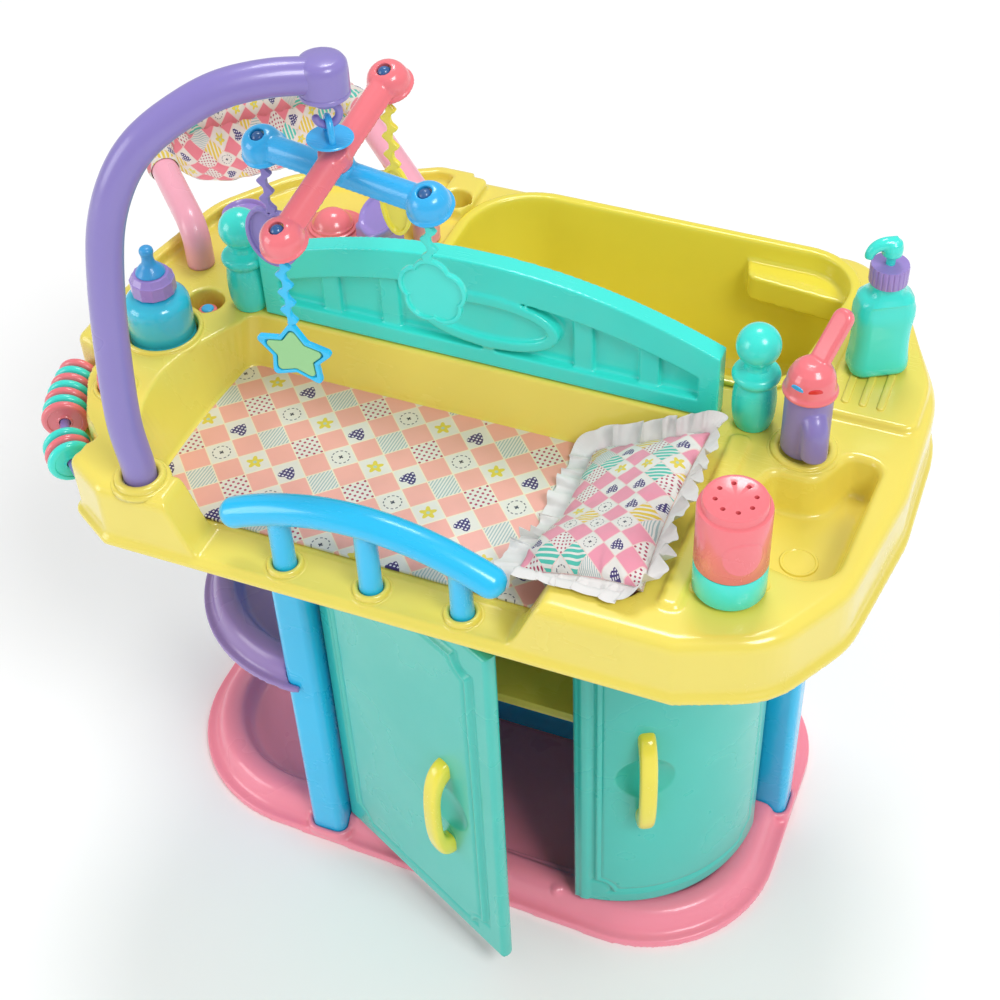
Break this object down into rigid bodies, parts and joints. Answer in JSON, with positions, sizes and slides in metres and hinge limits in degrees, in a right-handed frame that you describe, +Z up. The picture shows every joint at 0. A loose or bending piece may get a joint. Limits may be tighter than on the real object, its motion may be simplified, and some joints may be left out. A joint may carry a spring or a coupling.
{
  "type": "toy changing table",
  "caption": "Play nursery centre for dolls: a changing table with bed, bath, basin, high chair, mobile and a cabinet with doors.",
  "frame": {"origin": "on the floor under the base tray, at its middle line", "axes": "+X to the right as a player faces the doors, +Y to the back, +Z up"},
  "size_m": [0.6946, 0.483, 0.7861],
  "materials": {
    "yellow_shell": "smooth blow-moulded plastic, semi-gloss",
    "pink_plastic": "smooth moulded plastic, semi-gloss",
    "teal_plastic": "smooth moulded plastic, semi-gloss",
    "blue_plastic": "smooth moulded plastic, semi-gloss",
    "purple_plastic": "smooth moulded plastic, semi-gloss",
    "pale_blue_plastic": "slightly clear blow-moulded plastic, glossy",
    "handle_yellow": "smooth moulded plastic, semi-gloss",
    "green_insert": "plain moulded insert, glossy",
    "soft_teat": "soft moulded teat, satin",
    "printed_mat": "printed pads of pink squares and small motifs, smooth",
    "patchwork_cloth": "printed cotton in patchwork squares with a white ruffle"
  },
  "bodies": {
    "frame": {"table_top": "yellow_shell", "bath_tub": "yellow_shell", "cabinet_shelf": "yellow_shell", "base_tray": "pink_plastic", "can_body": "pink_plastic", "chair_hoop": "pink_plastic", "play_dish": "pink_plastic", "headboard_panel": "teal_plastic", "left_newel": "teal_plastic", "right_newel": "teal_plastic", "can_base": "teal_plastic", "lotion_body": "teal_plastic", "left_front_leg": "blue_plastic", "right_leg": "blue_plastic", "left_rear_leg": "blue_plastic", "right_rear_leg": "blue_plastic", "cabinet_side_panel": "blue_plastic", "cabinet_back_panel": "blue_plastic", "guard_rail": "blue_plastic", "lobe_shelf": "purple_plastic", "bead_rod": "purple_plastic", "bottle_collar": "purple_plastic", "lotion_collar": "purple_plastic", "faucet_column": "purple_plastic", "play_cup": "purple_plastic", "dial_unit": "purple_plastic", "bottle_body": "pale_blue_plastic", "bottle_teat": "soft_teat", "bed_mat": "printed_mat", "pillow": "patchwork_cloth", "chair_seat": "patchwork_cloth"},
    "left_door": {"left_door": "teal_plastic", "left_door_handle": "handle_yellow"},
    "right_door": {"right_door": "teal_plastic", "right_door_handle": "handle_yellow"},
    "mobile_arm": {"mobile_arm": "purple_plastic"},
    "mobile_hanger": {"mobile_hook": "purple_plastic", "hanger_loop": "blue_plastic"},
    "mobile_cross": {"pink_bar": "pink_plastic", "blue_bar": "blue_plastic"},
    "star": {"star_pendant": "blue_plastic", "star_insert": "green_insert"},
    "cloud": {"cloud_pendant": "teal_plastic"},
    "heart": {"heart_pendant": "purple_plastic"},
    "oval": {"oval_pendant": "handle_yellow"},
    "faucet_lever": {"faucet_lever": "pink_plastic"},
    "lotion_pump": {"lotion_pump": "teal_plastic"},
    "dial_knob": {"dial_knob": "pink_plastic"},
    "pocket_button": {"pocket_button": "pink_plastic"},
    "dial_button": {"dial_button": "blue_plastic"},
    "bead_01": {"bead_01": "pink_plastic"},
    "bead_02": {"bead_02": "teal_plastic"},
    "bead_03": {"bead_03": "pink_plastic"},
    "bead_04": {"bead_04": "teal_plastic"},
    "bead_05": {"bead_05": "pink_plastic"},
    "bead_06": {"bead_06": "teal_plastic"},
    "bead_07": {"bead_07": "pink_plastic"},
    "bead_08": {"bead_08": "teal_plastic"},
    "bead_09": {"bead_09": "pink_plastic"},
    "bead_10": {"bead_10": "teal_plastic"}
  },
  "joints": [
    {"name": "left_door_hinge", "type": "hinge", "parent": "frame", "child": "left_door", "pos_m": [-0.099, -0.1272, 0.22], "axis": [0, 0, 1], "range_deg": [-64, 25.3]},
    {"name": "right_door_hinge", "type": "hinge", "parent": "frame", "child": "right_door", "pos_m": [0.22683, -0.02133, 0.22], "axis": [0, 0, 1], "range_deg": [0, 100]},
    {"name": "arm_swivel", "type": "hinge", "parent": "frame", "child": "mobile_arm", "pos_m": [-0.188, -0.2, 0.481], "axis": [0, 0, 1], "range_deg": [-100, 80]},
    {"name": "mobile_spin", "type": "hinge", "parent": "mobile_arm", "child": "mobile_hanger", "pos_m": [-0.06192, -0.10149, 0.7575], "axis": [0, 0, 1], "continuous": true},
    {"name": "cross_tilt", "type": "hinge", "parent": "mobile_hanger", "child": "mobile_cross", "pos_m": [-0.06192, -0.10149, 0.719], "axis": [-0.9845, 0.1754, 0], "range_deg": [-1.5, 42]},
    {"name": "star_swing", "type": "hinge", "parent": "mobile_cross", "child": "star", "pos_m": [-0.07248, -0.16076, 0.69447], "axis": [0.1754, 0.9845, 0], "range_deg": [-15, 15]},
    {"name": "cloud_swing", "type": "hinge", "parent": "mobile_cross", "child": "cloud", "pos_m": [0.00316, -0.10682, 0.70318], "axis": [0.1754, 0.9845, 0], "range_deg": [-15, 15]},
    {"name": "heart_swing", "type": "hinge", "parent": "mobile_cross", "child": "heart", "pos_m": [-0.12483, -0.08402, 0.70318], "axis": [0.1754, 0.9845, 0], "range_deg": [-15, 15]},
    {"name": "oval_swing", "type": "hinge", "parent": "mobile_cross", "child": "oval", "pos_m": [-0.05124, -0.04152, 0.74169], "axis": [0.1754, 0.9845, 0], "range_deg": [-15, 15]},
    {"name": "faucet_turn", "type": "hinge", "parent": "frame", "child": "faucet_lever", "pos_m": [0.238, -0.014, 0.54], "axis": [0, 0, 1], "range_deg": [-60, 60]},
    {"name": "lotion_press", "type": "slide", "parent": "frame", "child": "lotion_pump", "axis": [0, 0, -1], "range_m": [0, 0.007], "stiffness_N_per_m": 300, "springref_m": -0.002},
    {"name": "knob_turn", "type": "hinge", "parent": "frame", "child": "dial_knob", "pos_m": [-0.255, -0.122, 0.49], "axis": [0, 0, 1], "continuous": true},
    {"name": "pocket_press", "type": "slide", "parent": "frame", "child": "pocket_button", "axis": [0, 0, -1], "range_m": [0, 0.003], "stiffness_N_per_m": 200, "springref_m": -0.002},
    {"name": "dial_press", "type": "slide", "parent": "frame", "child": "dial_button", "axis": [0.5446, 0.8387, 0], "range_m": [0, 0.003], "stiffness_N_per_m": 200, "springref_m": -0.001},
    {"name": "bead_01_turn", "type": "hinge", "parent": "frame", "child": "bead_01", "pos_m": [-0.31014, -0.09321, 0.451], "axis": [0.1555, -0.9878, 0], "continuous": true},
    {"name": "bead_02_turn", "type": "hinge", "parent": "frame", "child": "bead_02", "pos_m": [-0.30865, -0.10132, 0.451], "axis": [0.2071, -0.9783, 0], "continuous": true},
    {"name": "bead_03_turn", "type": "hinge", "parent": "frame", "child": "bead_03", "pos_m": [-0.30673, -0.10929, 0.451], "axis": [0.2601, -0.9656, 0], "continuous": true},
    {"name": "bead_04_turn", "type": "hinge", "parent": "frame", "child": "bead_04", "pos_m": [-0.30437, -0.11716, 0.451], "axis": [0.3145, -0.9492, 0], "continuous": true},
    {"name": "bead_05_turn", "type": "hinge", "parent": "frame", "child": "bead_05", "pos_m": [-0.30159, -0.12481, 0.451], "axis": [0.369, -0.9294, 0], "continuous": true},
    {"name": "bead_06_turn", "type": "hinge", "parent": "frame", "child": "bead_06", "pos_m": [-0.29833, -0.13235, 0.451], "axis": [0.4237, -0.9058, 0], "continuous": true},
    {"name": "bead_07_turn", "type": "hinge", "parent": "frame", "child": "bead_07", "pos_m": [-0.29464, -0.13966, 0.451], "axis": [0.4772, -0.8788, 0], "continuous": true},
    {"name": "bead_08_turn", "type": "hinge", "parent": "frame", "child": "bead_08", "pos_m": [-0.27745, -0.16443, 0.451], "axis": [0.6542, -0.7563, 0], "continuous": true},
    {"name": "bead_09_turn", "type": "hinge", "parent": "frame", "child": "bead_09", "pos_m": [-0.27193, -0.17048, 0.451], "axis": [0.6944, -0.7196, 0], "continuous": true},
    {"name": "bead_10_turn", "type": "hinge", "parent": "frame", "child": "bead_10", "pos_m": [-0.26604, -0.17626, 0.451], "axis": [0.7312, -0.6822, 0], "continuous": true}
  ]
}
